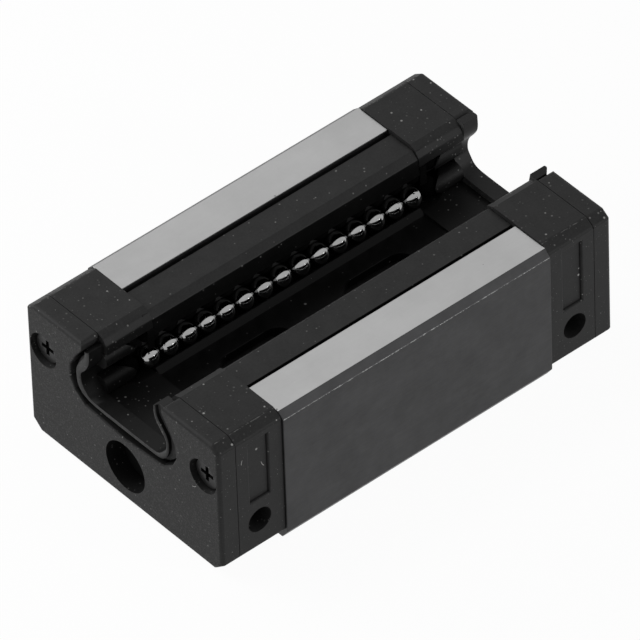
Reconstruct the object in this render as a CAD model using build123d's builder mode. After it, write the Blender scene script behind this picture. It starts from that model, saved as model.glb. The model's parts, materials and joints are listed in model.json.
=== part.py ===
from build123d import *
import os
from math import atan2, cos, degrees, pi, radians, sin, sqrt

# Linear guide block, size 15, low profile, lying on its mounting face with the rail groove upwards.
# Millimetres. X runs along the rail, +Y is the left side, +Z points out of the rail groove.
# The origin is the middle of the mounting face. The front end is at -X and the rear end at +X.

# Steel carriage body
block_width = 34.0
block_height = 19.5
steel_length = 39.8
foot_chamfer_width = 1.0       # edge between the mounting face and the ground sides
foot_chamfer_height = 1.4
land_inner_y = 11.0            # the two bright ground lands beside the groove
land_bevel_width = 0.9
land_bevel_height = 0.85
ledge_depth = 1.1              # step beside each land that carries an edge seal
groove_floor_depth = 10.2      # steel floor of the groove, below the lands
retainer_pocket_width = 2.3    # pocket behind each middle retainer, outwards from the ball rows
retainer_pocket_height = 2.9

# Balls and their circuits
ball_diameter = 2.778
least_ball_gap = 0.02
turn_lead = 1.175              # straight run between a steel face and the start of a turn
balls_in_turn = 3
row_y = 7.0                    # from the middle of the groove to each ball row
row_mid_depth = 5.75           # plane midway between the deep and the shallow row, below the lands
row_spacing = 4.0
return_rise = 1.3              # how far each return bore lies beyond its row, away from the mid plane
raceway_clearance = 0.03
retainer_clearance = 0.045
channel_clearance = 0.07
ball_sides = 6                 # flat sides round each ball
ball_ring_angle = 24.0         # a load ball's corners lie this far either side of its equator
ball_cap_angle = 66.0          # and this far, round its two small end flats

# Mounting holes in the steel
mount_pitch = 26.0
mount_hole_radius = 1.65
mount_hole_depth = 6.0

# End assembly, from the steel outwards: guide plate, end cap, seal plate
guide_plate_thickness = 0.9
cap_thickness = 5.85           # behind the guide plate, which lies in a recess of the cap
seal_plate_thickness = 2.6
side_inset = 0.3               # the plastic stands this far inside the steel's sides
top_rise = 0.2                 # and this far above its lands
foot_inset = 0.45
cap_top_chamfer_width = 1.2
cap_top_chamfer_height = 0.85
cap_foot_chamfer_width = 1.5
cap_foot_chamfer_height = 1.3
guide_rim_side = 1.1           # the cap's rim round the guide plate
guide_rim_top = 0.4
guide_rim_foot = 1.6
face_bevel = 0.3               # softened edge round the seal plate's outer face
fit_gap = 0.05                 # between plastic pieces that slide into each other

# Groove through the plastic ends
cap_floor_depth = 8.8
cap_wall_gap = 0.9             # wall between the rows, outwards from the row line
cap_throat_y = 5.55            # narrowest place, beside the rail's waist
cap_throat_depth = 2.3
cap_mouth_depth = 1.0          # below here the wall is upright, above it the mouth widens in two steps
cap_mouth_lead = 0.15
cap_mouth_middle_depth = 0.2
cap_mouth_middle_lead = 0.65
cap_mouth_y = 7.2
cap_tongue_radius = 1.25       # half-round tongues that run in the rail's ball grooves

# Screws, grease port and side holes
screw_y = 13.9
screw_above_mid = 0.15
screw_shank_radius = 1.0
screw_hole_clearance = 0.1
screw_thread_clearance = 0.03
screw_grip = 5.0
tapped_hole_spare = 1.0
screw_head_radius = 1.9
screw_head_height = 1.1
screw_recess_radius = 2.28
screw_recess_depth = 1.75
cross_slot_width = 0.55
cross_slot_span = 2.1
cross_slot_depth = 0.6
grease_port_height = 5.6
grease_recess_radius = 3.4
grease_bore_radius = 1.75
grease_bore_depth = 4.2
side_hole_height = 5.6
side_hole_radius = 1.67
side_hole_depth = 3.6
side_hole_from_steel = 3.7
side_panel_start = 2.1         # shallow panel on each side of a cap, from the steel outwards
side_panel_width = 2.8
side_panel_foot = 8.8
side_panel_height = 9.1
side_panel_depth = 0.35

# Seal lip, a rubber band round the groove in each seal plate
lip_flange = 0.75
lip_flange_thickness = 0.7
lip_flange_top_depth = 1.9
lip_face_setback = 0.35
lip_top_rise = 0.35            # the lip's two ears stand this far above the lands
cut_past = 1.0                 # cutters reach this far past an open edge

# Half outlines seen along X, from the middle of the floor up: out from the middle, down from the lands
SEAL_CUT = [(0, 9.55), (6.7, 9.0), (8.5, 7.65), (9.2, 6.2), (9.1, 4.3), (8.0, 2.3), (7.05, 1.0), (6.85, 0.2)]
LIP_OUTER = [(0, 9.25), (6.2, 8.95), (7.9, 7.5), (8.5, 5.6), (8.35, 4.1), (7.5, 2.6), (6.65, 1.5), (6.6, 0.1)]
LIP_INNER = [(0, 8.85), (5.4, 8.5), (7.0, 7.0), (7.25, 5.3), (7.15, 4.6), (5.5, 2.5), (5.4, 0.1)]

# Retainers in the groove
floor_retainer_thickness = 1.15
floor_ridge_height = 0.6
floor_ridge_width = 0.75
window_length = 10.4
window_width = 4.6
window_pitch = 18.4
middle_retainer_gap = 0.75     # its inner face, outwards from the row line
middle_retainer_foot = 0.1
edge_seal_thickness = 0.8
edge_seal_side_gap = 0.6
edge_seal_mouth_y = 6.6
edge_seal_shoulder_y = 5.75
edge_seal_tip_y = 5.4
edge_seal_tip_below = 0.45
edge_seal_bevel_height = 0.85
edge_seal_nose_gap = 0.08

# Worked out from the sizes above
half_width = block_width / 2
half_steel = steel_length / 2
land_outer_y = half_width - land_bevel_width
ledge_z = block_height - ledge_depth
groove_floor_z = block_height - groove_floor_depth
row_mid_z = block_height - row_mid_depth
deep_z = row_mid_z - row_spacing / 2
shallow_z = row_mid_z + row_spacing / 2
ball_radius = ball_diameter / 2
raceway_radius = ball_radius + raceway_clearance
retainer_radius = ball_radius + retainer_clearance
channel_radius = ball_radius + channel_clearance

straight_length = steel_length + 2 * turn_lead
balls_in_row = int(straight_length / (ball_diameter + least_ball_gap))
ball_pitch = straight_length / balls_in_row
turn_radius = balls_in_turn * ball_pitch / pi
turn_x = straight_length / 2
return_y = row_y + sqrt((2 * turn_radius) ** 2 - return_rise ** 2)

cap_x = half_steel + guide_plate_thickness
seal_x = cap_x + cap_thickness
end_x = seal_x + seal_plate_thickness
cap_side_y = half_width - side_inset
cap_top_z = block_height + top_rise
screw_z = row_mid_z + screw_above_mid
screw_hole_radius = screw_shank_radius + screw_hole_clearance
head_seat_x = end_x - screw_recess_depth
retainer_length = steel_length - 2 * fit_gap
floor_z = groove_floor_z + floor_retainer_thickness

ROWS = {"deep": (deep_z, -return_rise), "shallow": (shallow_z, return_rise)}
SIDES = {"left": 1, "right": -1}
ENDS = {"front": -1, "rear": 1}


def screw_places():
    """The two screws of one end, seen along X."""
    return [(screw_y, screw_z), (-screw_y, screw_z)]


def row_centres():
    """The four load rows, seen along X."""
    return [(side * row_y, z) for side in SIDES.values() for z, _ in ROWS.values()]


def return_centres():
    """The four return bores, seen along X."""
    return [(side * return_y, z + rise) for side in SIDES.values() for z, rise in ROWS.values()]


def turn_plane(side, row):
    """The plane of one circuit: its first axis runs from the load row to the return, its second along X."""
    row_z, rise = ROWS[row]
    across = Vector(0, side * (return_y - row_y), rise).normalized()
    middle = Vector(0, side * (row_y + return_y) / 2, row_z + rise / 2)
    return Plane(origin=middle, x_dir=across, z_dir=across.cross(Vector(1, 0, 0)))


def end_outline():
    """Half outline of a plastic end piece, from the middle of its foot round to the middle of its top."""
    return [
        (0, foot_inset), (cap_side_y - cap_foot_chamfer_width, foot_inset),
        (cap_side_y, foot_inset + cap_foot_chamfer_height),
        (cap_side_y, cap_top_z - cap_top_chamfer_height),
        (cap_side_y - cap_top_chamfer_width, cap_top_z), (0, cap_top_z),
    ]


def guide_outline(gap):
    """Half outline of the guide plate's recess in the cap, made smaller by gap all round."""
    side_y = cap_side_y - guide_rim_side - gap
    foot_z = foot_inset + guide_rim_foot + gap
    top_z = cap_top_z - guide_rim_top - gap
    return [(0, foot_z), (side_y, foot_z), (side_y, top_z), (0, top_z)]


def cap_groove():
    """Half outline of the groove through a guide plate or an end cap, before its tongues."""
    wall_y = row_y + cap_wall_gap
    throat_z = block_height - cap_throat_depth
    mouth_z = block_height - cap_mouth_depth
    return [
        (0, block_height - cap_floor_depth), (row_y, block_height - cap_floor_depth), (wall_y, deep_z),
        (wall_y, shallow_z), (row_y, throat_z), (cap_throat_y, throat_z),
        (cap_throat_y + cap_mouth_lead, mouth_z),
        (cap_throat_y + cap_mouth_middle_lead, block_height - cap_mouth_middle_depth),
        (cap_mouth_y, cap_top_z), (0, cap_top_z),
    ]


def lip_outline(pairs, grow=0.0):
    """One of the half outlines above as points, moved outwards by grow and closed past the plate's top."""
    corners = [Vector(y, block_height - depth) for y, depth in pairs]
    moved = []
    for before, here, after in zip(corners[:1] + corners, corners, corners[1:] + corners[-1:]):
        along = (after - before).normalized()
        moved.append((here.X and here.X + grow * along.Y, here.Y - grow * along.X))
    past = cap_top_z + cut_past
    return moved + [(moved[-1][0] + past - moved[-1][1], past), (0, past)]


def both_sides(points):
    """A whole outline from half of one: its points and their mirror images."""
    return points + [(-y, z) for y, z in reversed(points) if y]


os.makedirs("parts", exist_ok=True)

# Steel body: ground section, raceways, return bores, mounting holes and end screw holes
with BuildPart() as carriage_body:
    with BuildSketch(Plane.YZ.offset(-half_steel)):
        Polygon(*both_sides([
            (0, 0), (half_width - foot_chamfer_width, 0), (half_width, foot_chamfer_height),
            (half_width, block_height - land_bevel_height), (land_outer_y, block_height), (0, block_height),
        ]), align=None)
        with Locations((0, ledge_z)):
            Rectangle(2 * land_inner_y, ledge_depth, align=(Align.CENTER, Align.MIN), mode=Mode.SUBTRACT)
        with Locations((0, groove_floor_z)):
            Rectangle(2 * row_y, groove_floor_depth, align=(Align.CENTER, Align.MIN), mode=Mode.SUBTRACT)
        with Locations((0, row_mid_z)):
            Rectangle(2 * (row_y + retainer_pocket_width), retainer_pocket_height, mode=Mode.SUBTRACT)
        with Locations(*row_centres()):
            Circle(raceway_radius, mode=Mode.SUBTRACT)
        with Locations(*return_centres()):
            Circle(channel_radius, mode=Mode.SUBTRACT)
    extrude(amount=steel_length)
    with BuildSketch(Plane.YZ.offset(half_steel)):
        with Locations(*screw_places()):
            Circle(screw_shank_radius + screw_thread_clearance)
    extrude(amount=-(screw_grip + tapped_hole_spare), mode=Mode.SUBTRACT)
    with BuildSketch(Plane.YZ.offset(-half_steel)):
        with Locations(*screw_places()):
            Circle(screw_shank_radius + screw_thread_clearance)
    extrude(amount=screw_grip + tapped_hole_spare, mode=Mode.SUBTRACT)
    with Locations(Plane.XY.rotated((180, 0, 0))):
        with GridLocations(mount_pitch, mount_pitch, 2, 2):
            Hole(mount_hole_radius, mount_hole_depth)
carriage_body.part.label = "carriage_body"
export_step(carriage_body.part, "parts/carriage_body.step")

# Guide plates: the passages of the four circuits, and the half-round posts that the balls turn round
with BuildPart() as rear_guide_plate:
    with BuildSketch(Plane.YZ.offset(half_steel)):
        Polygon(*both_sides(guide_outline(fit_gap)), align=None)
        Polygon(*both_sides(cap_groove()), align=None, mode=Mode.SUBTRACT)
        with Locations(*screw_places()):
            Circle(screw_hole_radius, mode=Mode.SUBTRACT)
    extrude(amount=guide_plate_thickness)
    post_radius = turn_radius - channel_radius - fit_gap
    for side in SIDES.values():
        for row in ROWS:
            with BuildSketch(turn_plane(side, row)):
                with Locations((-turn_radius, half_steel), (turn_radius, half_steel)):
                    Rectangle(2 * channel_radius, guide_plate_thickness, align=(Align.CENTER, Align.MIN))
            extrude(amount=channel_radius, both=True, mode=Mode.SUBTRACT)
            with BuildSketch(turn_plane(side, row)):
                with BuildLine():
                    CenterArc((0, turn_x), post_radius, 0, 180)
                    Polyline((-post_radius, turn_x), (-post_radius, cap_x), (post_radius, cap_x),
                             (post_radius, turn_x))
                make_face()
            extrude(amount=channel_radius - fit_gap, both=True)
rear_guide_plate.part.label = "rear_guide_plate"
export_step(rear_guide_plate.part, "parts/rear_guide_plate.step")

with BuildPart() as front_guide_plate:
    mirror(rear_guide_plate.part, about=Plane.YZ)
front_guide_plate.part.label = "front_guide_plate"
export_step(front_guide_plate.part, "parts/front_guide_plate.step")

# End caps: rim round the guide plate, turn pockets with scoop tongues, screw holes, grease bore, side
# holes and side panels
with BuildPart() as rear_end_cap:
    with BuildSketch(Plane.YZ.offset(half_steel)):
        Polygon(*both_sides(end_outline()), align=None)
        Polygon(*both_sides(guide_outline(0)), align=None, mode=Mode.SUBTRACT)
        Polygon(*both_sides(cap_groove()), align=None, mode=Mode.SUBTRACT)
    extrude(amount=guide_plate_thickness)
    with BuildSketch(Plane.YZ.offset(cap_x)):
        Polygon(*both_sides(end_outline()), align=None)
        Polygon(*both_sides(cap_groove()), align=None, mode=Mode.SUBTRACT)
        with Locations(*row_centres()):
            Circle(cap_tongue_radius)
        with Locations(*screw_places()):
            Circle(screw_hole_radius, mode=Mode.SUBTRACT)
    extrude(amount=cap_thickness)
    pocket_radius = turn_radius + channel_radius
    for side in SIDES.values():
        for row in ROWS:
            with BuildSketch(turn_plane(side, row)):
                with BuildLine():
                    CenterArc((0, turn_x), pocket_radius, 0, 180)
                    Polyline((-pocket_radius, turn_x), (-pocket_radius, cap_x), (pocket_radius, cap_x),
                             (pocket_radius, turn_x))
                make_face()
            extrude(amount=channel_radius, both=True, mode=Mode.SUBTRACT)
    with BuildSketch(Plane.YZ.offset(seal_x)):
        with Locations((0, grease_port_height)):
            Circle(grease_bore_radius)
    extrude(amount=-grease_bore_depth, mode=Mode.SUBTRACT)
    for side in SIDES.values():
        with BuildSketch(Plane.XZ.offset(-side * cap_side_y)):
            with Locations((half_steel + side_hole_from_steel, side_hole_height)):
                Circle(side_hole_radius)
        extrude(amount=side * side_hole_depth, mode=Mode.SUBTRACT)
        with BuildSketch(Plane.XZ.offset(-side * cap_side_y)):
            with Locations((half_steel + side_panel_start, side_panel_foot)):
                Rectangle(side_panel_width, side_panel_height, align=(Align.MIN, Align.MIN))
        extrude(amount=side * side_panel_depth, mode=Mode.SUBTRACT)
rear_end_cap.part.label = "rear_end_cap"
export_step(rear_end_cap.part, "parts/rear_end_cap.step")

with BuildPart() as front_end_cap:
    mirror(rear_end_cap.part, about=Plane.YZ)
front_end_cap.part.label = "front_end_cap"
export_step(front_end_cap.part, "parts/front_end_cap.step")

# Seal plates: softened outer face, screw recesses, grease recess, and the groove that shows the lip
with BuildPart() as rear_seal_plate:
    with BuildSketch(Plane.YZ.offset(seal_x)):
        Polygon(*both_sides(end_outline()), align=None)
    extrude(amount=seal_plate_thickness)
    chamfer(rear_seal_plate.faces().sort_by(Axis.X)[-1].edges(), face_bevel)
    with BuildSketch(Plane.YZ.offset(seal_x)):
        Polygon(*both_sides(lip_outline(SEAL_CUT)), align=None)
        with Locations((0, grease_port_height)):
            Circle(grease_recess_radius)
        with Locations(*screw_places()):
            Circle(screw_hole_radius)
    extrude(amount=seal_plate_thickness, mode=Mode.SUBTRACT)
    with BuildSketch(Plane.YZ.offset(head_seat_x)):
        with Locations(*screw_places()):
            Circle(screw_recess_radius)
    extrude(amount=screw_recess_depth, mode=Mode.SUBTRACT)
    flange_top_z = block_height - lip_flange_top_depth
    with BuildSketch(Plane.YZ.offset(seal_x)):
        Polygon(*both_sides(lip_outline(SEAL_CUT, lip_flange)), align=None)
        with Locations((0, flange_top_z + fit_gap)):
            Rectangle(block_width, block_height, align=(Align.CENTER, Align.MIN), mode=Mode.SUBTRACT)
    extrude(amount=lip_flange_thickness + fit_gap, mode=Mode.SUBTRACT)
rear_seal_plate.part.label = "rear_seal_plate"
export_step(rear_seal_plate.part, "parts/rear_seal_plate.step")

with BuildPart() as front_seal_plate:
    mirror(rear_seal_plate.part, about=Plane.YZ)
front_seal_plate.part.label = "front_seal_plate"
export_step(front_seal_plate.part, "parts/front_seal_plate.step")

# Seal lips: a rubber band that follows the rail, on a flange held between the seal plate and the cap
with BuildPart() as rear_seal_lip:
    lip_top_z = block_height + lip_top_rise
    with BuildSketch(Plane.YZ.offset(seal_x)):
        Polygon(*both_sides(lip_outline(LIP_OUTER)), align=None)
        Polygon(*both_sides(lip_outline(LIP_INNER)), align=None, mode=Mode.SUBTRACT)
        with Locations((0, lip_top_z)):
            Rectangle(block_width, block_height, align=(Align.CENTER, Align.MIN), mode=Mode.SUBTRACT)
    extrude(amount=seal_plate_thickness - lip_face_setback)
    with BuildSketch(Plane.YZ.offset(seal_x)):
        Polygon(*both_sides(lip_outline(SEAL_CUT, lip_flange - fit_gap)), align=None)
        Polygon(*both_sides(lip_outline(LIP_INNER)), align=None, mode=Mode.SUBTRACT)
        with Locations((0, flange_top_z)):
            Rectangle(block_width, block_height, align=(Align.CENTER, Align.MIN), mode=Mode.SUBTRACT)
    extrude(amount=lip_flange_thickness)
rear_seal_lip.part.label = "rear_seal_lip"
export_step(rear_seal_lip.part, "parts/rear_seal_lip.step")

with BuildPart() as front_seal_lip:
    mirror(rear_seal_lip.part, about=Plane.YZ)
front_seal_lip.part.label = "front_seal_lip"
export_step(front_seal_lip.part, "parts/front_seal_lip.step")

# Cap screws: cross-recessed heads sunk in the seal plate, shanks through the cap into the steel
with BuildPart() as rear_cap_screws:
    with BuildSketch(Plane.YZ.offset(half_steel - screw_grip)):
        with Locations(*screw_places()):
            Circle(screw_shank_radius)
    extrude(amount=head_seat_x - half_steel + screw_grip)
    with BuildSketch(Plane.YZ.offset(head_seat_x)):
        with Locations(*screw_places()):
            Circle(screw_head_radius)
    extrude(amount=screw_head_height)
    with BuildSketch(Plane.YZ.offset(head_seat_x + screw_head_height)):
        with Locations(*screw_places()):
            Rectangle(cross_slot_span, cross_slot_width)
            Rectangle(cross_slot_width, cross_slot_span)
    extrude(amount=-cross_slot_depth, mode=Mode.SUBTRACT)
rear_cap_screws.part.label = "rear_cap_screws"
export_step(rear_cap_screws.part, "parts/rear_cap_screws.step")

with BuildPart() as front_cap_screws:
    mirror(rear_cap_screws.part, about=Plane.YZ)
front_cap_screws.part.label = "front_cap_screws"
export_step(front_cap_screws.part, "parts/front_cap_screws.step")

# Floor retainer: its ridges keep the deep rows in, and its windows look down on the steel
with BuildPart() as floor_retainer:
    with BuildSketch(Plane.YZ.offset(-retainer_length / 2)):
        ridge_foot_y = row_y - retainer_radius - floor_ridge_width
        Polygon(*both_sides([
            (0, groove_floor_z), (row_y - fit_gap, groove_floor_z), (row_y - fit_gap, floor_z),
            (row_y - fit_gap, floor_z + floor_ridge_height),
            (ridge_foot_y + floor_ridge_width, floor_z + floor_ridge_height),
            (ridge_foot_y, floor_z), (0, floor_z),
        ]), align=None)
        with Locations((row_y, deep_z), (-row_y, deep_z)):
            Circle(retainer_radius, mode=Mode.SUBTRACT)
    extrude(amount=retainer_length)
    with BuildSketch(Plane.XY.offset(groove_floor_z)):
        with GridLocations(window_pitch, 0, 2, 1):
            SlotOverall(window_length, window_width)
    extrude(amount=floor_retainer_thickness, mode=Mode.SUBTRACT)
floor_retainer.part.label = "floor_retainer"
export_step(floor_retainer.part, "parts/floor_retainer.step")

# Middle retainers: bars between the deep and the shallow row, hollowed to the balls on both edges
with BuildPart() as left_middle_retainer:
    with BuildSketch(Plane.YZ.offset(-retainer_length / 2)):
        with Locations((row_y + middle_retainer_gap, row_mid_z)):
            Rectangle(retainer_pocket_width - middle_retainer_gap - fit_gap,
                      retainer_pocket_height - middle_retainer_foot, align=(Align.MIN, Align.CENTER))
        with Locations((row_y, deep_z), (row_y, shallow_z)):
            Circle(retainer_radius, mode=Mode.SUBTRACT)
    extrude(amount=retainer_length)
left_middle_retainer.part.label = "left_middle_retainer"
export_step(left_middle_retainer.part, "parts/left_middle_retainer.step")

with BuildPart() as right_middle_retainer:
    mirror(left_middle_retainer.part, about=Plane.XZ)
right_middle_retainer.part.label = "right_middle_retainer"
export_step(right_middle_retainer.part, "parts/right_middle_retainer.step")

# Edge seals: strips on the steel ledges that keep dust out and the shallow rows in
with BuildPart() as left_edge_seal:
    with BuildSketch(Plane.YZ.offset(-retainer_length / 2)):
        seal_top_z = ledge_z + edge_seal_thickness
        nose_y = row_y - edge_seal_nose_gap
        Polygon(
            (land_inner_y - edge_seal_side_gap, ledge_z), (land_inner_y - edge_seal_side_gap, seal_top_z),
            (edge_seal_mouth_y, seal_top_z), (edge_seal_shoulder_y, seal_top_z - edge_seal_bevel_height),
            (edge_seal_tip_y, shallow_z + edge_seal_tip_below),
            (nose_y, shallow_z + edge_seal_tip_below), (nose_y, ledge_z), align=None,
        )
        with Locations((row_y, shallow_z)):
            Circle(retainer_radius, mode=Mode.SUBTRACT)
    extrude(amount=retainer_length)
left_edge_seal.part.label = "left_edge_seal"
export_step(left_edge_seal.part, "parts/left_edge_seal.step")

with BuildPart() as right_edge_seal:
    mirror(left_edge_seal.part, about=Plane.XZ)
right_edge_seal.part.label = "right_edge_seal"
export_step(right_edge_seal.part, "parts/right_edge_seal.step")


def ball_ring(angle):
    """Radius and height of a ring of corners at this angle above a ball's equator."""
    return ball_radius * cos(radians(angle)), ball_radius * sin(radians(angle))


ring_radius, ring_height = ball_ring(ball_ring_angle)
top_radius, top_height = ball_ring(ball_cap_angle)

# One ball in flat-sided bands whose corners all lie on the true sphere: its upper half, then both halves
with BuildPart() as load_ball:
    with BuildSketch():
        RegularPolygon(ring_radius, ball_sides)
    extrude(amount=ring_height)
    with BuildSketch(Plane.XY.offset(ring_height)):
        RegularPolygon(ring_radius, ball_sides)
    band_slope = atan2((ring_radius - top_radius) * cos(pi / ball_sides), top_height - ring_height)
    extrude(amount=top_height - ring_height, taper=degrees(band_slope))
    mirror(about=Plane.XY)

# The hidden balls have one sharp ring round the equator
with BuildPart() as hidden_ball:
    with BuildSketch():
        RegularPolygon(ball_radius, ball_sides)
    cap_slope = atan2((ball_radius - top_radius) * cos(pi / ball_sides), top_height)
    extrude(amount=top_height, taper=degrees(cap_slope))
    mirror(about=Plane.XY)

# The four circuits: a load row, a return row, and the balls in the turn at each end
for side_name, side in SIDES.items():
    for row, (row_z, rise) in ROWS.items():
        row_xs = [(i - (balls_in_row - 1) / 2) * ball_pitch for i in range(balls_in_row)]
        with BuildPart() as load_balls:
            with Locations(*[(x, side * row_y, row_z) for x in row_xs]):
                add(load_ball.part)
        load_balls.part.label = f"{side_name}_{row}_load_balls"
        export_step(load_balls.part, f"parts/{side_name}_{row}_load_balls.step")

        with BuildPart() as return_balls:
            with Locations(*[(x, side * return_y, row_z + rise) for x in row_xs]):
                add(hidden_ball.part)
        return_balls.part.label = f"{side_name}_{row}_return_balls"
        export_step(return_balls.part, f"parts/{side_name}_{row}_return_balls.step")

        plane = turn_plane(side, row)
        for end_name, end in ENDS.items():
            turn_angles = [pi * (i + 0.5) / balls_in_turn for i in range(balls_in_turn)]
            places = [
                plane.from_local_coords((-turn_radius * cos(a), end * (turn_x + turn_radius * sin(a)), 0))
                for a in turn_angles
            ]
            with BuildPart() as turn_balls:
                with Locations(*places):
                    add(hidden_ball.part)
            turn_balls.part.label = f"{side_name}_{row}_{end_name}_turn_balls"
            export_step(turn_balls.part, f"parts/{side_name}_{row}_{end_name}_turn_balls.step")
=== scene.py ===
"""A linear guide block lying on its mounting face, with the rail groove upwards.

The pieces keep the frame's places and sizes. Lengths are in metres unless a name says millimetres.
"""

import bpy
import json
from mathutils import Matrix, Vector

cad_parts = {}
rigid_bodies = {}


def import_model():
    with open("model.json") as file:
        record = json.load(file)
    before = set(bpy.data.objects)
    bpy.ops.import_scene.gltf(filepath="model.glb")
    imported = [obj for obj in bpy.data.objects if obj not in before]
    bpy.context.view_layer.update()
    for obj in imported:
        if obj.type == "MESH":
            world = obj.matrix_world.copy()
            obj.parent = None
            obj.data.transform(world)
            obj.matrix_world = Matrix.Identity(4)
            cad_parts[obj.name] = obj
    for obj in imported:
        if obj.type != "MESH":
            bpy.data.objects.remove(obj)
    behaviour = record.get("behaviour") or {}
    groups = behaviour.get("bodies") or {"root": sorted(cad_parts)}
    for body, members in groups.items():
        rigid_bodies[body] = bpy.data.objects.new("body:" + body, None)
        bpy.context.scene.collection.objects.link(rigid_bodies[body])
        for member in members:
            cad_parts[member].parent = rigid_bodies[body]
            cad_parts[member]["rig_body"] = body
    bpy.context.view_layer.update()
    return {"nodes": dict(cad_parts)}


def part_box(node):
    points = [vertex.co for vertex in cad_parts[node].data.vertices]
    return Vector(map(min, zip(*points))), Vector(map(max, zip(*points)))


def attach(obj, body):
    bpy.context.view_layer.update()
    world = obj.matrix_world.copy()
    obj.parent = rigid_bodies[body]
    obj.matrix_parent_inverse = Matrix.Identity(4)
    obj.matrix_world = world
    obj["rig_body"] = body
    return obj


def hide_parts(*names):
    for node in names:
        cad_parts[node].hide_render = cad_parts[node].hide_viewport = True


bl_info = {
    "name": "Linear guide block",
    "version": (1, 0, 0),
    "blender": (4, 5, 0),
    "location": "View3D > Sidebar > Guide block",
    "description": "Dresses the frame of a linear guide block and sets its stage",
    "category": "Object",
}

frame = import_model()

import json
import math

import bmesh
import bpy
import numpy as np
from mathutils import Matrix, Vector

MM = 0.001
TOUCH = 0.01 * MM                            # places nearer than this count as the same
ROW_BALLS, TURN_BALLS = 15, 3                # balls in a straight run and in a turn
ROWS = ("left_deep", "left_shallow", "right_deep", "right_shallow")
ENDS = ("front", "rear")
STEEL_LOW, STEEL_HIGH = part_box("carriage_body")
SEAM_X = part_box("rear_seal_plate")[0].x      # where a seal plate meets its end cap
SHARP = math.radians(32)                     # outward edges that turn by more than this are softened
RIM = math.radians(20)                       # rims that turn by more than this keep a crisp line
STRAIGHT = 1.2 * MM                          # shorter edges belong to curves, which stay as they are
GROOVE_Y = 8.5 * MM                          # the groove's walls lie nearer to the middle than this


class GuideBlockSizes(bpy.types.PropertyGroup):
    """Edge radii and the counts that shape the pieces."""
    steel_edge: bpy.props.FloatProperty(
        name="Steel edge", description="Softened width of the steel body's edges", default=0.10 * MM, unit="LENGTH")
    cap_edge: bpy.props.FloatProperty(
        name="Cap edge", description="Softened width of the end caps' and seal plates' edges", default=0.20 * MM,
        unit="LENGTH")
    plastic_edge: bpy.props.FloatProperty(
        name="Plastic edge", description="Softened width of the retainers' and strips' edges", default=0.07 * MM,
        unit="LENGTH")
    lip_step: bpy.props.FloatProperty(
        name="Lip step", description="How far a seal lip's thin blade stands before its body", default=0.6 * MM,
        unit="LENGTH")
    screw_edge: bpy.props.FloatProperty(
        name="Screw edge", description="Softened width of the screw heads' edges", default=0.09 * MM, unit="LENGTH")
    seam: bpy.props.FloatProperty(
        name="Seam", description="Width of the dark seam between an end cap and its seal plate", default=0.08 * MM,
        unit="LENGTH")
    steel_seam: bpy.props.FloatProperty(
        name="Steel seam", description="Width of the seam between the steel and an end cap", default=0.03 * MM,
        unit="LENGTH")
    ball_diameter: bpy.props.FloatProperty(
        name="Ball diameter", description="Diameter of every ball", default=2.778 * MM, unit="LENGTH")
    turn_ball_diameter: bpy.props.FloatProperty(
        name="Turn ball diameter", description="Diameter of the balls inside the turns, which have to pass each other",
        default=2.58 * MM, unit="LENGTH")
    load_ball_steps: bpy.props.IntProperty(
        name="Load ball steps", description="Facets round each ball that shows", default=36)
    hidden_ball_steps: bpy.props.IntProperty(
        name="Hidden ball steps", description="Facets round each ball inside the block", default=12)


class GuideBlockColours(bpy.types.PropertyGroup):
    """Linear colours of the finishes."""
    land: bpy.props.FloatVectorProperty(
        name="Ground land", description="Bright ground steel beside the groove", subtype="COLOR",
        default=(0.375, 0.375, 0.375))
    side: bpy.props.FloatVectorProperty(
        name="Steel side", description="Dark steel of the sides and the outer bevels", subtype="COLOR",
        default=(0.038, 0.038, 0.039))
    # Near-black steel in the groove: its oil, and painted shade on the groove's walls.
    groove: bpy.props.FloatVectorProperty(
        name="Groove steel", description="Oiled steel in the rail groove", subtype="COLOR",
        default=(0.008, 0.008, 0.008))
    worn: bpy.props.FloatVectorProperty(
        name="Worn edge", description="Steel where the dark finish has rubbed off", subtype="COLOR",
        default=(0.15, 0.15, 0.15))
    ball: bpy.props.FloatVectorProperty(
        name="Ball steel", description="Polished balls", subtype="COLOR", default=(0.34, 0.34, 0.34))
    plastic: bpy.props.FloatVectorProperty(
        name="Cap plastic", description="Moulded plastic of the end caps", subtype="COLOR",
        default=(0.022, 0.022, 0.022))
    face: bpy.props.FloatVectorProperty(
        name="Face plastic", description="Speckled plastic of the seal plates", subtype="COLOR",
        default=(0.024, 0.024, 0.024))
    rubber: bpy.props.FloatVectorProperty(
        name="Lip rubber", description="Rubber of the seal lips", subtype="COLOR", default=(0.050, 0.050, 0.050))
    # Near-black retainer plastic; the same colour is painted shade on the edge strips' lower faces and on the sheets at
    # the passages' mouths.
    retainer: bpy.props.FloatVectorProperty(
        name="Retainer plastic", description="Oiled plastic of the retainers in the groove", subtype="COLOR",
        default=(0.0045, 0.0045, 0.0045))
    bar: bpy.props.FloatVectorProperty(
        name="Bar plastic", description="Plastic bars between the ball rows", subtype="COLOR",
        default=(0.06, 0.06, 0.06))
    # Near-black colour for oil in the groove and for painted shade: caps' and guide plates' groove walls, lips' inner
    # faces, and the balls outside the deep loaded rows.
    grease_and_shade: bpy.props.FloatVectorProperty(
        name="Greased surfaces", description="Dark greasy film inside the groove", subtype="COLOR",
        default=(0.006, 0.006, 0.006))
    screw: bpy.props.FloatVectorProperty(
        name="Screw steel", description="Blackened cap screws", subtype="COLOR", default=(0.03, 0.03, 0.03))
    dust: bpy.props.FloatVectorProperty(
        name="Dust", description="Pale dust specks and lint", subtype="COLOR", default=(0.42, 0.42, 0.41))
    floor: bpy.props.FloatVectorProperty(
        name="Floor", description="Plain pale floor", subtype="COLOR", default=(0.9, 0.9, 0.9))


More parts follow.
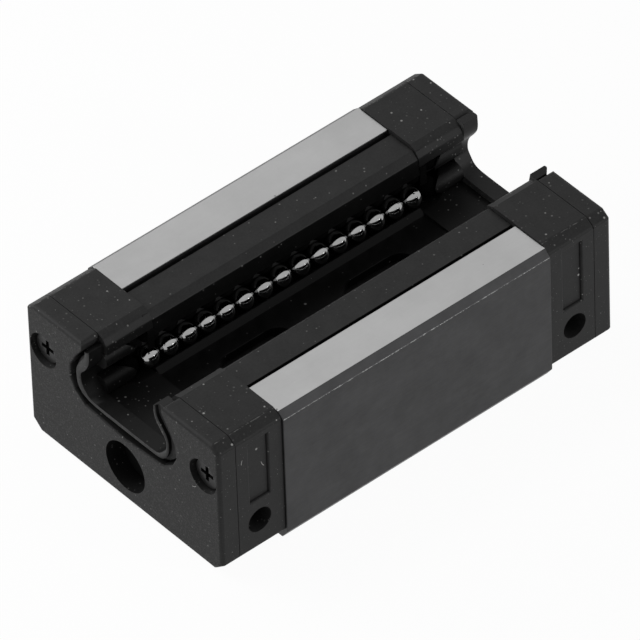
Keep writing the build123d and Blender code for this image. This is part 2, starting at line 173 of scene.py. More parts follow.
class GuideBlockView(bpy.types.PropertyGroup):
    """Where the camera stands and how the scene is lit."""
    azimuth: bpy.props.FloatProperty(
        name="Azimuth", description="Camera's turn about the upright axis, in degrees", default=-39.337)
    elevation: bpy.props.FloatProperty(
        name="Elevation", description="Camera's height above the horizon, in degrees", default=42.916)
    roll: bpy.props.FloatProperty(
        name="Roll", description="Camera's roll about its own axis, in degrees", default=-2.094)
    distance: bpy.props.FloatProperty(
        name="Distance", description="From the camera to the middle of the block", default=1.3656, unit="LENGTH")
    lens: bpy.props.FloatProperty(
        name="Lens", description="Focal length in millimetres on a 36 mm sensor", default=676.84)
    ambient: bpy.props.FloatProperty(
        name="Ambient", description="Strength of the even studio light", default=0.22)


def settings():
    """The three property groups, stored on the scene."""
    scene = bpy.context.scene
    return scene.guide_sizes, scene.guide_colours, scene.guide_view


def add_node(tree, kind, **values):
    """Adds a shader node and sets its attributes, or its input sockets where a name has a socket."""
    node = tree.nodes.new(kind)
    for name, value in values.items():
        socket = name.replace("_", " ").title()
        if hasattr(node, name) and name not in ("scale", "detail", "roughness", "distance"):
            setattr(node, name, value)
        elif socket in node.inputs:
            node.inputs[socket].default_value = value
        else:
            raise KeyError(f"{kind} has neither {name} nor a socket {socket}")
    return node


def mix_colours(tree, factor, first, second):
    """A colour mix whose ends are sockets or plain colours. Returns its result socket."""
    node = tree.nodes.new("ShaderNodeMix")
    node.data_type = "RGBA"
    tree.links.new(factor, node.inputs[0])
    for index, end in ((6, first), (7, second)):
        if isinstance(end, bpy.types.NodeSocket):
            tree.links.new(end, node.inputs[index])
        else:
            node.inputs[index].default_value = (*end, 1.0)
    return node.outputs[2]


def map_range(tree, value, low, high, to_low=0.0, to_high=1.0):
    """A clamped map range over a value socket. Returns its result socket."""
    node = tree.nodes.new("ShaderNodeMapRange")
    node.clamp = True
    tree.links.new(value, node.inputs["Value"])
    for name, number in (("From Min", low), ("From Max", high), ("To Min", to_low), ("To Max", to_high)):
        if isinstance(number, bpy.types.NodeSocket):
            tree.links.new(number, node.inputs[name])
        else:
            node.inputs[name].default_value = number
    return node.outputs["Result"]


def maths(tree, operation, first, second):
    """One maths node over sockets or numbers. Returns its value socket."""
    node = tree.nodes.new("ShaderNodeMath")
    node.operation = operation
    for index, end in enumerate((first, second)):
        if isinstance(end, bpy.types.NodeSocket):
            tree.links.new(end, node.inputs[index])
        else:
            node.inputs[index].default_value = end
    return node.outputs[0]


def start_group(name, inputs, outputs):
    """An empty shader group with float or vector inputs (name, default) and float outputs."""
    group = bpy.data.node_groups.new(name, "ShaderNodeTree")
    group.interface.new_socket(name="Vector", in_out="INPUT", socket_type="NodeSocketVector")
    for socket_name, default in inputs:
        kind = "NodeSocketVector" if isinstance(default, tuple) else "NodeSocketFloat"
        socket = group.interface.new_socket(name=socket_name, in_out="INPUT", socket_type=kind)
        socket.default_value = default
    for socket_name in outputs:
        group.interface.new_socket(name=socket_name, in_out="OUTPUT", socket_type="NodeSocketFloat")
    return group, group.nodes.new("NodeGroupInput"), group.nodes.new("NodeGroupOutput")


def grain_group():
    """Moulded grain: coarse and fine noise. Height drives a bump, Tone a slight change of colour."""
    group, source, sink = start_group("moulded_grain", [("Scale", 3500.0)], ["Height", "Tone"])
    fine = add_node(group, "ShaderNodeTexNoise", detail=3.0, roughness=0.6)
    group.links.new(source.outputs["Vector"], fine.inputs["Vector"])
    group.links.new(source.outputs["Scale"], fine.inputs["Scale"])
    broad = add_node(group, "ShaderNodeTexNoise", detail=4.0, roughness=0.6)
    group.links.new(source.outputs["Vector"], broad.inputs["Vector"])
    group.links.new(maths(group, "MULTIPLY", source.outputs["Scale"], 0.13), broad.inputs["Scale"])
    group.links.new(fine.outputs[0], sink.inputs["Height"])
    group.links.new(maths(group, "ADD", maths(group, "MULTIPLY", fine.outputs[0], 0.5),
                          maths(group, "MULTIPLY", broad.outputs[0], 0.5)), sink.inputs["Tone"])
    return group


def dust_group():
    """Dust specks: a random few cells of a Voronoi pattern hold a speck, each of its own size and strength."""
    group, source, sink = start_group("dust_specks", [("Scale", 900.0), ("Share", 0.1), ("Radius", 0.25)], ["Mask"])
    cells = add_node(group, "ShaderNodeTexVoronoi", feature="F1")
    group.links.new(source.outputs["Vector"], cells.inputs["Vector"])
    group.links.new(source.outputs["Scale"], cells.inputs["Scale"])
    split = group.nodes.new("ShaderNodeSeparateColor")
    group.links.new(cells.outputs["Color"], split.inputs[0])
    chosen = maths(group, "LESS_THAN", split.outputs[0], source.outputs["Share"])
    size = maths(group, "MULTIPLY", source.outputs["Radius"], maths(group, "POWER", split.outputs[1], 2.0))
    speck = map_range(group, cells.outputs["Distance"], maths(group, "MULTIPLY", size, 0.4), size, 1.0, 0.0)
    strength = maths(group, "MULTIPLY", chosen, maths(group, "ADD", 0.15, split.outputs[2]))
    group.links.new(maths(group, "MULTIPLY", strength, speck), sink.inputs["Mask"])
    return group


def fibre_group():
    """A lint fibre: the stretch of a thin ring, round one point, that lies near another point."""
    group, source, sink = start_group("lint_fibre", [
        ("Ring Centre", (0.0, 0.0, 0.0)), ("Ring Radius", 0.001), ("Patch Centre", (0.0, 0.0, 0.0)),
        ("Patch Radius", 0.0005), ("Width", 0.00003)], ["Mask"])

    def span(point):
        node = group.nodes.new("ShaderNodeVectorMath")
        node.operation = "DISTANCE"
        group.links.new(source.outputs["Vector"], node.inputs[0])
        group.links.new(source.outputs[point], node.inputs[1])
        return node.outputs["Value"]

    apart = maths(group, "SUBTRACT", span("Ring Centre"), source.outputs["Ring Radius"])
    off_ring = maths(group, "ABSOLUTE", apart, 0.0)
    thin = maths(group, "LESS_THAN", off_ring, source.outputs["Width"])
    near = maths(group, "LESS_THAN", span("Patch Centre"), source.outputs["Patch Radius"])
    group.links.new(maths(group, "MULTIPLY", thin, near), sink.inputs["Mask"])
    return group


def rubbed_group():
    """Rubbed steel: a broken line along the lower edge of each outer bevel, at Height above and Out from the middle."""
    group, source, sink = start_group(
        "rubbed_line", [("Height", 0.01865), ("Out", 0.017), ("Width", 0.0001)], ["Mask"])
    split = group.nodes.new("ShaderNodeSeparateXYZ")
    group.links.new(source.outputs["Vector"], split.inputs[0])
    across = maths(group, "SUBTRACT", maths(group, "ABSOLUTE", split.outputs["Y"], 0.0), source.outputs["Out"])
    upward = maths(group, "SUBTRACT", split.outputs["Z"], source.outputs["Height"])
    far = maths(group, "SQRT", maths(group, "ADD", maths(group, "MULTIPLY", across, across),
                                     maths(group, "MULTIPLY", upward, upward)), 0.0)
    breaks = add_node(group, "ShaderNodeTexNoise", scale=1800.0, detail=4.0, roughness=0.7)
    group.links.new(source.outputs["Vector"], breaks.inputs["Vector"])
    reach = maths(group, "MULTIPLY", source.outputs["Width"], map_range(group, breaks.outputs[0], 0.4, 0.65, 0.0, 1.2))
    group.links.new(map_range(group, far, maths(group, "MULTIPLY", reach, 0.5), reach, 1.0, 0.0), sink.inputs["Mask"])
    return group


def film_and_shade_group():
    """Oily coat and painted shade inside the groove, darker towards the bottom: below Height, and nearer to the middle
    than Out.
    """
    group, source, sink = start_group("greasy_film_and_shade", [("Height", 0.0187), ("Out", GROOVE_Y)], ["Mask"])
    split = group.nodes.new("ShaderNodeSeparateXYZ")
    group.links.new(source.outputs["Vector"], split.inputs[0])
    inside = maths(group, "LESS_THAN", maths(group, "ABSOLUTE", split.outputs["Y"], 0.0), source.outputs["Out"])
    below = maths(group, "SUBTRACT", source.outputs["Height"], split.outputs["Z"])
    group.links.new(maths(group, "MULTIPLY", inside, map_range(group, below, 0.0, 0.5 * MM)), sink.inputs["Mask"])
    return group


def mottle_group():
    """Uneven finish: soft clouds and short scratches along the rail's direction."""
    group, source, sink = start_group("mottle", [("Scale", 220.0)], ["Cloud", "Streak"])
    cloud = add_node(group, "ShaderNodeTexNoise", detail=6.0, roughness=0.7)
    group.links.new(source.outputs["Vector"], cloud.inputs["Vector"])
    group.links.new(source.outputs["Scale"], cloud.inputs["Scale"])
    stretch = group.nodes.new("ShaderNodeMapping")
    stretch.inputs["Scale"].default_value = (0.06, 1.0, 1.0)
    group.links.new(source.outputs["Vector"], stretch.inputs["Vector"])
    streak = add_node(group, "ShaderNodeTexNoise", detail=5.0, roughness=0.7)
    group.links.new(stretch.outputs[0], streak.inputs["Vector"])
    group.links.new(maths(group, "MULTIPLY", source.outputs["Scale"], 30.0), streak.inputs["Scale"])
    group.links.new(cloud.outputs[0], sink.inputs["Cloud"])
    group.links.new(streak.outputs[0], sink.inputs["Streak"])
    return group


def group_node(tree, name, builder, vector, **values):
    """Places a shared group, built once, with its own values."""
    group = bpy.data.node_groups.get(name) or builder()
    node = tree.nodes.new("ShaderNodeGroup")
    node.node_tree = group
    tree.links.new(vector, node.inputs["Vector"])
    for key, value in values.items():
        node.inputs[key.replace("_", " ").title()].default_value = value
    return node


def start_material(name):
    """A material with its Principled shader and its object coordinates."""
    material = bpy.data.materials.new(name)
    material.use_nodes = True
    tree = material.node_tree
    shader = tree.nodes["Principled BSDF"]
    coordinates = tree.nodes.new("ShaderNodeTexCoord").outputs["Object"]
    return material, tree, shader, coordinates


def add_bump(tree, shader, height, distance):
    """Feeds a height socket to the shader's normal."""
    bump = tree.nodes.new("ShaderNodeBump")
    bump.inputs["Distance"].default_value = distance
    tree.links.new(height, bump.inputs["Height"])
    tree.links.new(bump.outputs["Normal"], shader.inputs["Normal"])


def steel_material(name, colour, roughness, metallic, contrast, dust_share, streaks, clouds=260.0, rubbed=False,
                   spots=0.0):
    """Ground or blackened steel: clouded tone, fine grinding lines, dust, dark spots and a rubbed bevel edge."""
    _, colours, _ = settings()
    material, tree, shader, coordinates = start_material(name)
    mottle = group_node(tree, "mottle", mottle_group, coordinates, scale=clouds)
    cloud = map_range(tree, mottle.outputs["Cloud"], 0.35, 0.65)
    low = tuple(c * (1 - contrast) for c in colour)
    high = tuple(c * (1 + contrast) for c in colour)
    base = mix_colours(tree, cloud, low, high)
    if spots:
        dark = group_node(tree, "dust_specks", dust_group, coordinates, scale=700.0, share=spots, radius=0.16)
        base = mix_colours(tree, dark.outputs["Mask"], base, tuple(c * 0.25 for c in colour))
    if rubbed:
        bare = group_node(tree, "rubbed_line", rubbed_group, coordinates)
        base = mix_colours(tree, bare.outputs["Mask"], base, tuple(colours.worn))
    dust = group_node(tree, "dust_specks", dust_group, coordinates, scale=1100.0, share=dust_share, radius=0.22)
    base = mix_colours(tree, dust.outputs["Mask"], base, tuple(colours.dust))
    tree.links.new(base, shader.inputs["Base Color"])
    tree.links.new(map_range(tree, mottle.outputs["Streak"], 0.3, 0.7, roughness - 0.07, roughness + 0.07),
                   shader.inputs["Roughness"])
    shader.inputs["Metallic"].default_value = metallic
    add_bump(tree, shader, mottle.outputs["Streak"], streaks)
    return material


def plastic_material(name, colour, roughness, level, bump, dust_share, speckle=0.0, fibres=(), edge=None,
                     film_and_shade=False, scale=3500.0):
    """Moulded plastic: grain, speckles, an oily coat and painted shade in the groove, two sizes of dust, lint, and a
    scuffed edge.
    """
    _, colours, _ = settings()
    material, tree, shader, coordinates = start_material(name)
    grain = group_node(tree, "moulded_grain", grain_group, coordinates, scale=scale)
    tone = map_range(tree, grain.outputs["Tone"], 0.38, 0.62)
    base = mix_colours(tree, tone, tuple(c * 0.8 for c in colour), tuple(c * 1.2 for c in colour))
    if speckle:
        fine = map_range(tree, grain.outputs["Height"], 0.5, 0.75, 0.0, speckle)
        base = mix_colours(tree, fine, base, tuple(colours.dust))
    # Painted shade with oil: walls inside the groove turn near black below the cap's top.
    if film_and_shade:
        greasy_and_shaded = group_node(tree, "greasy_film_and_shade", film_and_shade_group, coordinates)
        base = mix_colours(tree, greasy_and_shaded.outputs["Mask"], base, tuple(colours.grease_and_shade))
    powder = group_node(tree, "dust_specks", dust_group, coordinates, scale=2600.0, share=dust_share, radius=0.42)
    base = mix_colours(tree, powder.outputs["Mask"], base, tuple(c * 0.45 for c in colours.dust))
    dust = group_node(tree, "dust_specks", dust_group, coordinates, scale=1100.0, share=dust_share, radius=0.22)
    base = mix_colours(tree, dust.outputs["Mask"], base, tuple(colours.dust))
    if edge:
        scuffs = group_node(tree, "rubbed_line", rubbed_group, coordinates, height=edge[1] * MM, out=edge[0] * MM)
        base = mix_colours(tree, scuffs.outputs["Mask"], base, tuple(c * 0.3 for c in colours.dust))
    for fibre in fibres:
        lint = group_node(tree, "lint_fibre", fibre_group, coordinates, **fibre)
        base = mix_colours(tree, lint.outputs["Mask"], base, tuple(colours.dust))
    tree.links.new(base, shader.inputs["Base Color"])
    tree.links.new(map_range(tree, grain.outputs["Tone"], 0.3, 0.7, roughness - 0.05, roughness + 0.08),
                   shader.inputs["Roughness"])
    shader.inputs["Specular IOR Level"].default_value = level
    add_bump(tree, shader, grain.outputs["Height"], bump)
    return material


def fibre(patch, towards, ring_radius, length, width=0.035):
    """Settings of a lint fibre, in millimetres: its middle, the way to its ring's centre, and its sizes."""
    way = Vector(towards).normalized()
    middle = Vector(patch)
    return {"ring_centre": (middle + way * ring_radius) * MM, "ring_radius": ring_radius * MM,
            "patch_centre": middle * MM, "patch_radius": length / 2 * MM, "width": width * MM}


def merged_copy(node, piece, plain_planes=()):
    """A copy of a node's mesh with its doubled corners merged and its flat faces made whole, then cut into triangles
    that stay flat. Its outward sharp edges are marked for softening, apart from those in a hidden plane across X."""
    mesh = frame["nodes"][node].data.copy()
    mesh.name = piece
    mesh.materials.clear()
    form = bmesh.new()
    form.from_mesh(mesh)
    bmesh.ops.remove_doubles(form, verts=form.verts, dist=0.0005 * MM)
    bmesh.ops.dissolve_limit(form, angle_limit=math.radians(0.5), verts=form.verts, edges=form.edges)
    for face in form.faces:
        face.smooth = len(face.verts) < 5
    bmesh.ops.triangulate(form, faces=[face for face in form.faces if not face.smooth])
    weight = form.edges.layers.float.new("bevel_weight_edge")
    for edge in form.edges:
        hidden = any(all(abs(abs(v.co.x) - x) < TOUCH for v in edge.verts) for x in plain_planes)
        straight = edge.calc_length() > STRAIGHT
        edge[weight] = float(straight and edge.is_convex and edge.calc_face_angle(0.0) > SHARP and not hidden)
    form.to_mesh(mesh)
    form.free()
    mesh.set_sharp_from_angle(angle=SHARP)
    copy = bpy.data.objects.new(piece, mesh)
    bpy.context.scene.collection.objects.link(copy)
    return copy


def soften(piece, width, segments=2):
    """Rounds the marked edges of a piece by a live bevel, and keeps its other rims crisp and its flat faces even."""
    bevel = piece.modifiers.new("softened_edges", "BEVEL")
    bevel.width = width
    bevel.segments = segments
    bevel.limit_method = "WEIGHT"
    bevel.use_clamp_overlap = False
    split = piece.modifiers.new("crisp_rims", "EDGE_SPLIT")
    split.split_angle = RIM
    flat = piece.modifiers.new("flat_faces", "WEIGHTED_NORMAL")
    flat.mode = "FACE_AREA"
    flat.weight = 100
    flat.keep_sharp = True


def open_seam(piece, plane_x, shift):
    """Draws a piece's face at plane_x back by shift, so that a thin dark seam shows beside it."""
    mesh = piece.data
    points = np.empty(len(mesh.vertices) * 3, np.float32)
    mesh.vertices.foreach_get("co", points)
    points = points.reshape(-1, 3)
    points[np.abs(points[:, 0] - plane_x) < 0.002 * MM, 0] += shift
    mesh.vertices.foreach_set("co", points.ravel())
    mesh.update()


def faces_of(piece):
    """The directions and the middles of a piece's faces, as two arrays."""
    count = len(piece.data.polygons)
    normals, centres = np.empty(count * 3, np.float32), np.empty(count * 3, np.float32)
    piece.data.polygons.foreach_get("normal", normals)
    piece.data.polygons.foreach_get("center", centres)
    return normals.reshape(-1, 3), centres.reshape(-1, 3)


def paint(piece, material, chosen):
    """Gives the chosen faces of a piece another material."""
    index = np.empty(len(piece.data.polygons), np.int32)
    piece.data.polygons.foreach_get("material_index", index)
    index[chosen] = len(piece.data.materials)
    piece.data.materials.append(material)
    piece.data.polygons.foreach_set("material_index", index)


def stand_for(piece, node):
    """Lets a piece ride where its node does, and hides the node."""
    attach(piece, frame["nodes"][node]["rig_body"])
    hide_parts(node)


def dress(node, piece, material, width, segments=2, plain_planes=()):
    """A softened copy of one node in one material."""
    copy = merged_copy(node, piece, plain_planes)
    copy.data.materials.append(material)
    soften(copy, width, segments)
    stand_for(copy, node)
    return copy


def mesh_object(name, points, faces, material, smooth=True):
    """A mesh object from arrays of points and faces."""
    mesh = bpy.data.meshes.new(name)
    mesh.from_pydata(points.tolist(), [], faces)
    mesh.materials.append(material)
    mesh.polygons.foreach_set("use_smooth", np.full(len(mesh.polygons), smooth))
    made = bpy.data.objects.new(name, mesh)
    bpy.context.scene.collection.objects.link(made)
    return made


def sphere_surface(radius, steps):
    """A closed sphere: point = radius (sin v cos u, sin v sin u, cos v), u round it and v from pole to pole."""
    bands = steps // 2
    u = np.linspace(0, 2 * math.pi, steps, endpoint=False)
    v = np.linspace(0, math.pi, bands + 1)[1:-1]
    ring = np.stack([np.outer(np.sin(v), np.cos(u)), np.outer(np.sin(v), np.sin(u)),
                     np.outer(np.cos(v), np.ones(steps))], axis=-1).reshape(-1, 3)
    points = radius * np.vstack([ring, [[0, 0, 1], [0, 0, -1]]])
    i, j = np.meshgrid(np.arange(bands - 2), np.arange(steps), indexing="ij")
    k = (j + 1) % steps
    quads = np.stack([i * steps + j, (i + 1) * steps + j, (i + 1) * steps + k, i * steps + k], axis=-1)
    j = np.arange(steps)
    k = (j + 1) % steps
    top, foot, last = len(ring), len(ring) + 1, (bands - 2) * steps
    caps = np.vstack([np.stack([np.full(steps, top), j, k], -1),
                      np.stack([last + k, last + j, np.full(steps, foot)], -1)])
    return points, quads.reshape(-1, 4).tolist() + caps.tolist()


def ball_centres(node, count):
    """The middle of each solid in a ball group: its corners are stored one ball after the other."""
    mesh = frame["nodes"][node].data
    points = np.empty(len(mesh.vertices) * 3, np.float32)
    mesh.vertices.foreach_get("co", points)
    balls = points.reshape(count, -1, 3)
    return (balls.min(axis=1) + balls.max(axis=1)) / 2


LEVEL = 0.99               # a face whose upward share is more than this is level
BESIDE_STRIP = 0.5 * MM    # the near-black groove steel, oil and painted shade, reaches this far beyond the edge seals
UNDER_FLOOR = 1 * MM       # and this far below the floor retainer


class GUIDE_OT_steel_body(bpy.types.Operator):
    """Make the steel carriage body, with bright lands, dark sides and rubbed edges"""
    bl_idname = "guide_block.steel_body"
    bl_label = "Steel body"

    def execute(self, context):
        sizes, colours, _ = settings()
        body = merged_copy("carriage_body", "steel_body")
        side = steel_material("dark_steel_side", colours.side, 0.46, 0.75, 0.16, 0.10, 0.004 * MM, rubbed=True)
        land = steel_material("ground_land", colours.land, 0.40, 1.0, 0.05, 0.01, 0.002 * MM, clouds=90.0,
                              spots=0.3)
        groove = steel_material("oiled_and_shaded_groove_steel", colours.groove, 0.35, 0.6, 0.3, 0.05, 0.003 * MM)
        body.data.materials.append(side)
        normals, centres = faces_of(body)
        lands = (normals[:, 2] > LEVEL) & (centres[:, 2] > STEEL_HIGH.z - TOUCH)
        foot = (normals[:, 2] < -LEVEL) & (centres[:, 2] < STEEL_LOW.z + TOUCH)
        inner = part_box("left_edge_seal")[1].y + BESIDE_STRIP
        # Painted shade with oil: the body's faces inside the groove, below the lands, take the near-black groove steel.
        in_groove = (np.abs(centres[:, 1]) < inner) & (np.abs(normals[:, 0]) < 0.5) & (
            centres[:, 2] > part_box("floor_retainer")[0].z - UNDER_FLOOR)
        paint(body, land, lands | foot)
        paint(body, groove, in_groove & ~lands)
        soften(body, sizes.steel_edge)
        stand_for(body, "carriage_body")
        return {"FINISHED"}


CAP_EDGE_Y, CAP_TOP_Z = 15.5, 19.7      # the outer edge of a cap's top
PLATE_RECESS = 0.9 * MM                 # how deep a guide plate lies in its end cap
CAP_FIBRES = (
    fibre((-22.66, -16.35, 13.35), (0.9, 0, 0.45), 1.6, 0.9),
    fibre((-25.9, -16.6, 15.8), (0.9, 0, -0.2), 1.2, 0.7),
)
FACE_FIBRES = (
    fibre((-27.87, -10.3, 19.7), (0.7, 0.7, 0), 1.5, 1.5),
    fibre((-29.15, -12.3, 11.2), (0, 0.5, 0.8), 1.0, 0.8),
)


class GUIDE_OT_plastic_ends(bpy.types.Operator):
    """Make the guide plates, end caps and seal plates of both ends"""
    bl_idname = "guide_block.plastic_ends"
    bl_label = "Plastic ends"

    def execute(self, context):
        sizes, colours, _ = settings()
        # Guide plates and caps: painted shade, with oil, on their walls inside the groove.
        guide = plastic_material("guide_plastic", colours.plastic, 0.48, 0.12, 0.002 * MM, 0.1, film_and_shade=True)
        cap = plastic_material("cap_plastic", colours.plastic, 0.48, 0.12, 0.004 * MM, 0.5, fibres=CAP_FIBRES,
                               edge=(CAP_EDGE_Y, CAP_TOP_Z), film_and_shade=True)
        face = plastic_material("seal_plate_plastic", colours.face, 0.55, 0.12, 0.010 * MM, 0.5, speckle=0.12,
                                fibres=FACE_FIBRES, scale=6000.0)
        guide_end = STEEL_HIGH.x + PLATE_RECESS
        for end, way in zip(ENDS, (-1, 1)):
            for place in frame["nodes"][f"{end}_guide_plate"].material_slots:
                place.material = guide
            moulded = dress(f"{end}_end_cap", f"{end}_moulded_cap", cap, sizes.cap_edge,
                            plain_planes=(SEAM_X, STEEL_HIGH.x, guide_end))
            open_seam(moulded, way * STEEL_HIGH.x, way * sizes.steel_seam)
            plate = dress(f"{end}_seal_plate", f"{end}_face_plate", face, sizes.cap_edge, 3,
                          plain_planes=(SEAM_X,))
            open_seam(plate, way * SEAM_X, way * sizes.seam)
            normals, _ = faces_of(plate)
            paint(plate, cap, np.abs(normals[:, 0]) < 0.9)
        return {"FINISHED"}


# Outlines of the seal lips seen along X in millimetres, from the top of the left ear round to the right one
FRONT_INNER = [(6.2, 18.5), (6.2, 16.9), (7.0, 15.2), (7.9, 14.4), (7.85, 13.05), (7.35, 12.15), (6.45, 11.3),
               (4.9, 11.2), (0, 11.2), (-4.4, 11.2), (-5.6, 11.3), (-6.5, 12.3), (-7.1, 13.0), (-7.1, 14.4),
               (-6.1, 15.4), (-5.1, 16.8), (-5.1, 18.5)]
FRONT_BLADE = [(6.95, 18.3), (6.95, 17.4), (7.9, 16.1), (8.6, 14.85), (8.7, 13.7), (8.5, 12.2), (7.8, 11.35),
               (5.6, 10.7), (0, 10.7), (-4.6, 10.7), (-6.2, 10.8), (-7.1, 11.8), (-7.5, 13.0), (-7.45, 14.7),
               (-6.5, 15.9), (-5.5, 17.05), (-5.4, 18.6)]
FRONT_BODY = [(7.05, 18.4), (7.15, 17.6), (8.2, 16.3), (8.9, 14.9), (9.0, 13.7), (8.6, 12.3), (8.0, 11.45),
              (5.9, 10.4), (0, 10.3), (-4.8, 10.3), (-6.5, 10.6), (-7.9, 11.7), (-8.6, 13.0), (-8.8, 14.8),
              (-7.8, 16.5), (-6.8, 17.9), (-6.6, 18.7)]
REAR_INNER = [(5.6, 19.8), (5.5, 17.8), (6.2, 16.6), (7.3, 15.2), (7.5, 13.6), (7.1, 12.9), (6.2, 11.7),
              (4.6, 11.5), (0, 11.5), (-4.6, 11.5), (-6.2, 11.7), (-7.1, 12.9), (-7.5, 13.6), (-7.3, 15.2),
              (-6.2, 16.6), (-5.5, 17.8), (-5.9, 19.8)]
REAR_BLADE = [(6.6, 19.75), (6.3, 18.2), (6.9, 17.1), (7.9, 15.5), (8.2, 13.8), (7.8, 12.4), (6.9, 11.2),
              (5.0, 10.9), (0, 10.9), (-5.0, 10.9), (-6.9, 11.2), (-7.8, 12.4), (-8.2, 13.8), (-7.9, 15.5),
              (-6.9, 17.1), (-6.3, 18.2), (-6.4, 19.7)]
REAR_BODY = [(6.75, 19.7), (6.9, 18.2), (7.6, 17.0), (8.7, 15.3), (8.8, 13.8), (8.2, 12.2), (7.0, 11.0),
             (5.2, 10.4), (0, 10.3), (-5.2, 10.4), (-7.0, 11.0), (-8.2, 12.2), (-8.8, 13.8), (-8.7, 15.3),
             (-7.6, 17.0), (-6.9, 18.2), (-6.9, 19.65)]


LIP_WALL = 7 * MM                # a lip's sides take painted shade, with oil, up to this height over its foot
LIP_TOP = 0.8                    # above that, a face whose upward share is at least this keeps the plain rubber
LIP_SHARP = math.radians(40)     # a lip's edges that turn by more than this show


def cut_corners(points, rounds=2):
    """An open line with its corners cut: each side from a to b gives (3a + b) / 4 and (a + 3b) / 4."""
    for _ in range(rounds):
        first, last = points[:-1], points[1:]
        sides = np.stack([0.75 * first + 0.25 * last, 0.25 * first + 0.75 * last], axis=1).reshape(-1, 2)
        points = np.vstack([points[:1], sides, points[-1:]])
    return points


def lip_surface(inner, blade, body, back_x, front_x, step):
    """A closed band along a lip's outlines: point = (x, a + w (b - a)), where a and b are two of the outlines at the
    same place and the ten pairs of x and w go round its section, with a thin rounded blade before a thicker body."""
    a, b, c = (cut_corners(np.array(line, float) * MM) for line in (inner, blade, body))
    way = math.copysign(1, front_x)
    nose, near = 0.12 * MM * way, 0.03 * MM * way
    step_x = front_x - way * step
    section = [(back_x, a), (front_x - nose, a), (front_x - near, 0.8 * a + 0.2 * b), (front_x, 0.5 * a + 0.5 * b),
               (front_x - near, 0.2 * a + 0.8 * b), (front_x - nose, b), (step_x + nose / 2, b),
               (step_x, 0.9 * b + 0.1 * c), (step_x, c), (back_x, c)]
    rings = np.stack([np.column_stack([np.full(len(line), x), line]) for x, line in section], axis=1)
    count, around = rings.shape[:2]
    i, j = np.meshgrid(np.arange(count - 1), np.arange(around), indexing="ij")
    k = (j + 1) % around
    quads = np.stack([i * around + j, i * around + k, (i + 1) * around + k, (i + 1) * around + j], axis=-1)
    ends = [list(range(around))[::-1], list(range((count - 1) * around, count * around))]
    faces = quads.reshape(-1, 4).tolist() + ends
    return rings.reshape(-1, 3), [face[::-1] for face in faces] if way < 0 else faces


class GUIDE_OT_seal_lips(bpy.types.Operator):
    """Make the rubber seal lips round the groove"""
    bl_idname = "guide_block.seal_lips"
    bl_label = "Seal lips"

    def execute(self, context):
        sizes, colours, _ = settings()
        rubber = plastic_material("lip_rubber", colours.rubber, 0.6, 0.15, 0.006 * MM, 0.25)
        greased_and_shaded = plastic_material("greased_and_shaded_rubber", colours.grease_and_shade, 0.45, 0.15, 0.004 * MM, 0.25)
        low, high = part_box("rear_seal_lip")
        outlines = {"front": (FRONT_INNER, FRONT_BLADE, FRONT_BODY), "rear": (REAR_INNER, REAR_BLADE, REAR_BODY)}
        for end, way in zip(ENDS, (-1, 1)):
            points, faces = lip_surface(*outlines[end], way * low.x, way * high.x, sizes.lip_step)
            lip = mesh_object(f"{end}_rubber_lip", points, faces, rubber)
            lip.data.set_sharp_from_angle(angle=LIP_SHARP)
            normals, centres = faces_of(lip)
            wall = (normals[:, 2] < LIP_TOP) | (centres[:, 2] < low.z + LIP_WALL)
            # Painted shade with oil: the lip's faces that don't face along X, low down or not facing up, turn near
            # black; the front rims keep the lighter rubber.
            paint(lip, greased_and_shaded, (np.abs(normals[:, 0]) < 0.5) & wall)
            stand_for(lip, f"{end}_seal_lip")
        return {"FINISHED"}


# Thin near-black sheets on the guide plates, painted shade that hides the shallow rows' ends in their dark passages:
# reach along X, then the Y and Z they span
PASSAGE_SHADE_SHEET = (0.9 * MM, (5.42 * MM, 5.57 * MM), (14.5 * MM, 17.3 * MM))
BOX_FACES = [[0, 1, 3, 2], [4, 6, 7, 5], [0, 4, 5, 1], [2, 3, 7, 6], [0, 2, 6, 4], [1, 5, 7, 3]]


class GUIDE_OT_retainers(bpy.types.Operator):
    """Make the floor retainer, the middle retainers and the edge seals"""
    bl_idname = "guide_block.retainers"
    bl_label = "Retainers and edge seals"

    def execute(self, context):
        sizes, colours, _ = settings()
        oiled_and_shaded = plastic_material("retainer_plastic", colours.retainer, 0.34, 0.08, 0.003 * MM, 0.10)
        strip = plastic_material("edge_seal_plastic", colours.plastic, 0.45, 0.12, 0.003 * MM, 0.20)
        bar = plastic_material("bar_plastic", colours.bar, 0.40, 0.12, 0.003 * MM, 0.25)
        dress("floor_retainer", "groove_floor", oiled_and_shaded, sizes.plastic_edge)
        guide_low, guide_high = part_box("rear_guide_plate")
        for end, way in zip(ENDS, (-1, 1)):
            for side, across in (("left", 1), ("right", -1)):
                # Painted shade: a near-black sheet at each passage's mouth stands for the shadow there.
                corners = [(way * x, across * y, z) for x in (guide_low.x, guide_low.x + PASSAGE_SHADE_SHEET[0])
                           for y in PASSAGE_SHADE_SHEET[1] for z in PASSAGE_SHADE_SHEET[2]]
                shade_sheet = mesh_object(f"{end}_{side}_passage_shade_sheet", np.array(corners), BOX_FACES, oiled_and_shaded, smooth=False)
                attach(shade_sheet, frame["nodes"][f"{end}_guide_plate"]["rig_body"])
        for side in ("left", "right"):
            dress(f"{side}_middle_retainer", f"{side}_ball_bar", bar, sizes.plastic_edge)
            edge = dress(f"{side}_edge_seal", f"{side}_edge_strip", strip, sizes.plastic_edge, 3)
            normals, _ = faces_of(edge)
            # Painted shade: the edge strips' faces that don't face up take the near-black retainer plastic, for the
            # shade down the groove's walls.
            paint(edge, oiled_and_shaded, normals[:, 2] < 0.3)
        return {"FINISHED"}


class GUIDE_OT_screws(bpy.types.Operator):
    """Make the cross-recessed cap screws"""
    bl_idname = "guide_block.screws"
    bl_label = "Cap screws"

    def execute(self, context):
        sizes, colours, _ = settings()
        black = steel_material("black_screw", colours.screw, 0.38, 0.8, 0.4, 0.12, 0.004 * MM)
        for end in ENDS:
            dress(f"{end}_cap_screws", f"{end}_screw_pair", black, sizes.screw_edge)
        return {"FINISHED"}


